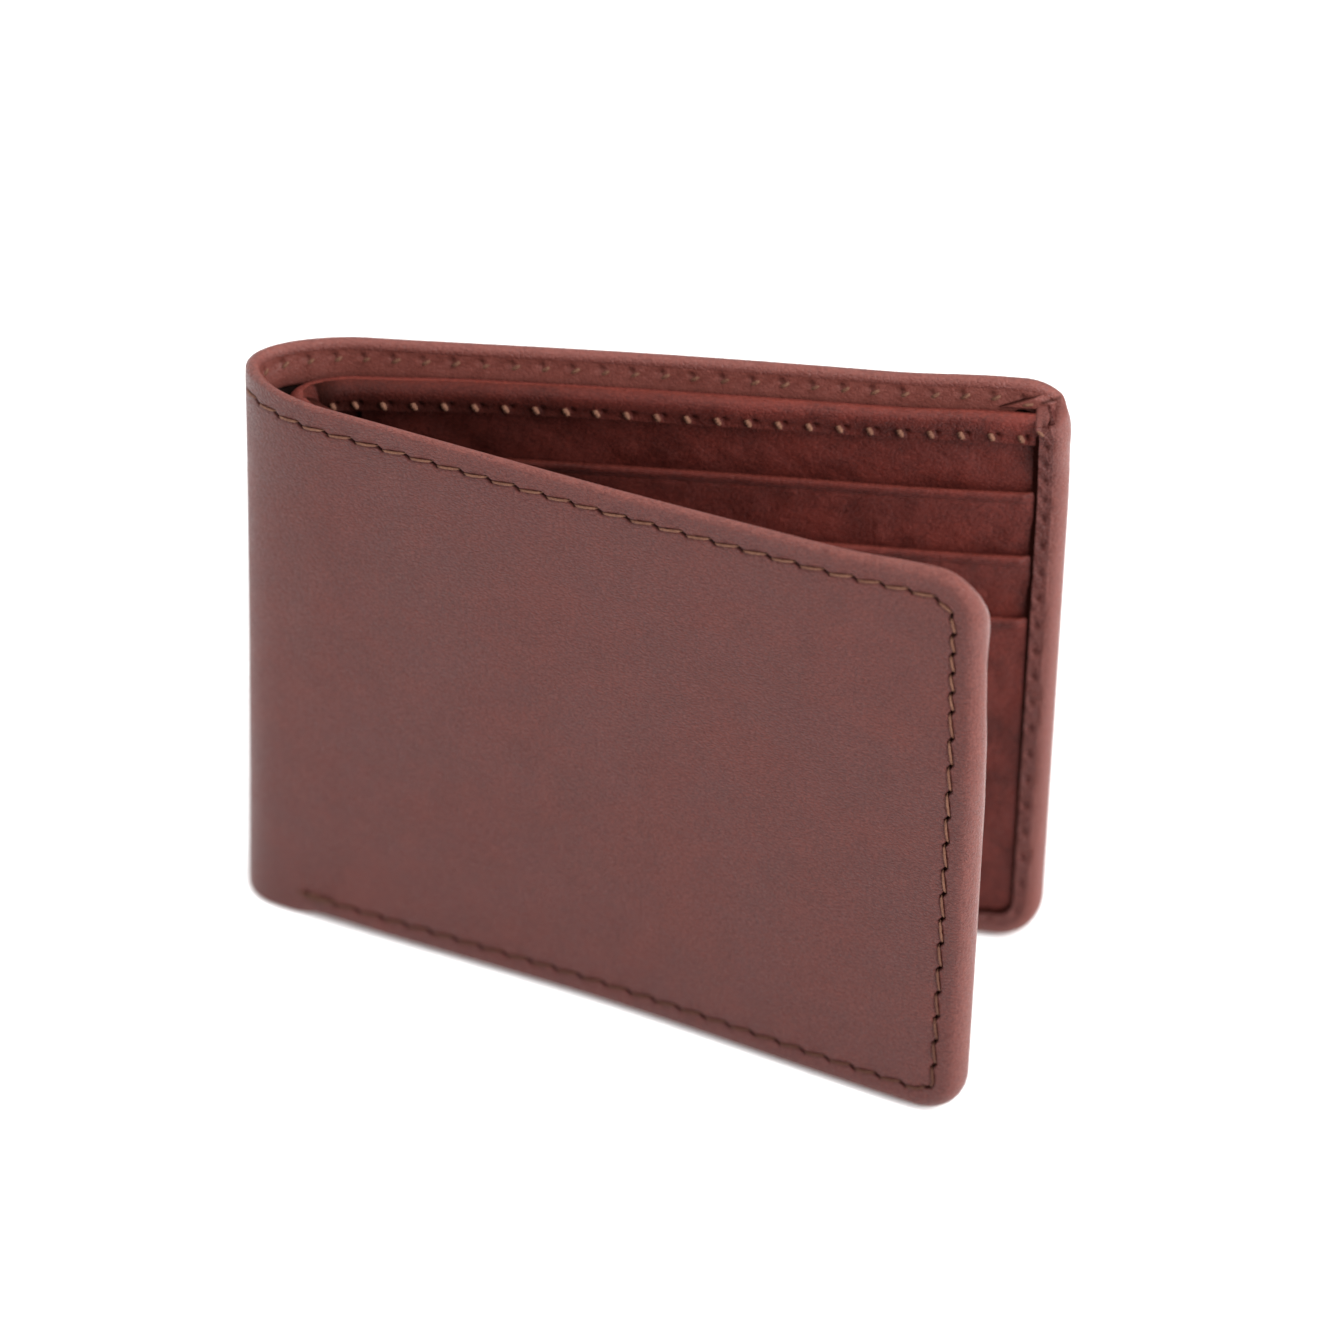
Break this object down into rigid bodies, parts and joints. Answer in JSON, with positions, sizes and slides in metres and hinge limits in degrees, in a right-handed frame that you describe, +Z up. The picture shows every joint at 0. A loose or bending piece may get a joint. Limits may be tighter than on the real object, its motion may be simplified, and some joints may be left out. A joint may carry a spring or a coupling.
{
  "type": "bifold wallet",
  "caption": "Bifold leather wallet standing partly open, with turned and stitched edges, a full-length bill compartment and stepped card pockets inside each half.",
  "frame": {"origin": "middle of the wallet's footprint, on the surface it stands on", "axes": "+Z up, +X from the spine along the back half towards its free edge, +Y out of the back half's outer face; the front half swings out towards -Y"},
  "size_m": [0.1127, 0.052, 0.088],
  "materials": {
    "cover_leather": "satin, fine grain, reddish brown",
    "inner_leather": "satin, milled grain, deeper reddish brown",
    "lining_fabric": "matt woven lining, dark brown",
    "board": "matt fibre board",
    "thread": "waxed twisted thread, tan brown"
  },
  "bodies": {
    "back_half": {"cover_back": "cover_leather", "stiffener_back": "board", "bill_lining_back": "lining_fabric", "divider_back": "inner_leather", "pocket_panel_back": "inner_leather", "card_pocket_upper_back": "inner_leather", "card_pocket_middle_back": "inner_leather", "card_pocket_lower_back": "inner_leather", "pocket_slip_upper_back": "lining_fabric", "pocket_slip_middle_back": "lining_fabric", "seam_thread_back": "thread", "divider_thread_back": "thread", "pocket_thread_back": "thread"},
    "spine": {"cover_spine": "cover_leather", "bill_lining_spine": "lining_fabric", "divider_fold": "inner_leather", "seam_thread_spine": "thread"},
    "front_half": {"cover_front": "cover_leather", "stiffener_front": "board", "bill_lining_front": "lining_fabric", "divider_front": "inner_leather", "pocket_panel_front": "inner_leather", "card_pocket_upper_front": "inner_leather", "card_pocket_middle_front": "inner_leather", "card_pocket_lower_front": "inner_leather", "pocket_slip_upper_front": "lining_fabric", "pocket_slip_middle_front": "lining_fabric", "seam_thread_front": "thread", "divider_thread_front": "thread", "pocket_thread_front": "thread"}
  },
  "joints": [
    {"name": "spine_hinge", "type": "hinge", "parent": "back_half", "child": "spine", "pos_m": [-0.0532, 0.02386, 0], "axis": [0, 0, -1], "range_deg": [-9.75, 80.25]},
    {"name": "front_hinge", "type": "hinge", "parent": "spine", "child": "front_half", "pos_m": [-0.05514, 0.01259, 0], "axis": [0, 0, -1], "range_deg": [-9.75, 80.25]}
  ],
  "couplings": [
    {"joint": "front_hinge", "follows": "spine_hinge", "ratio": 1}
  ]
}
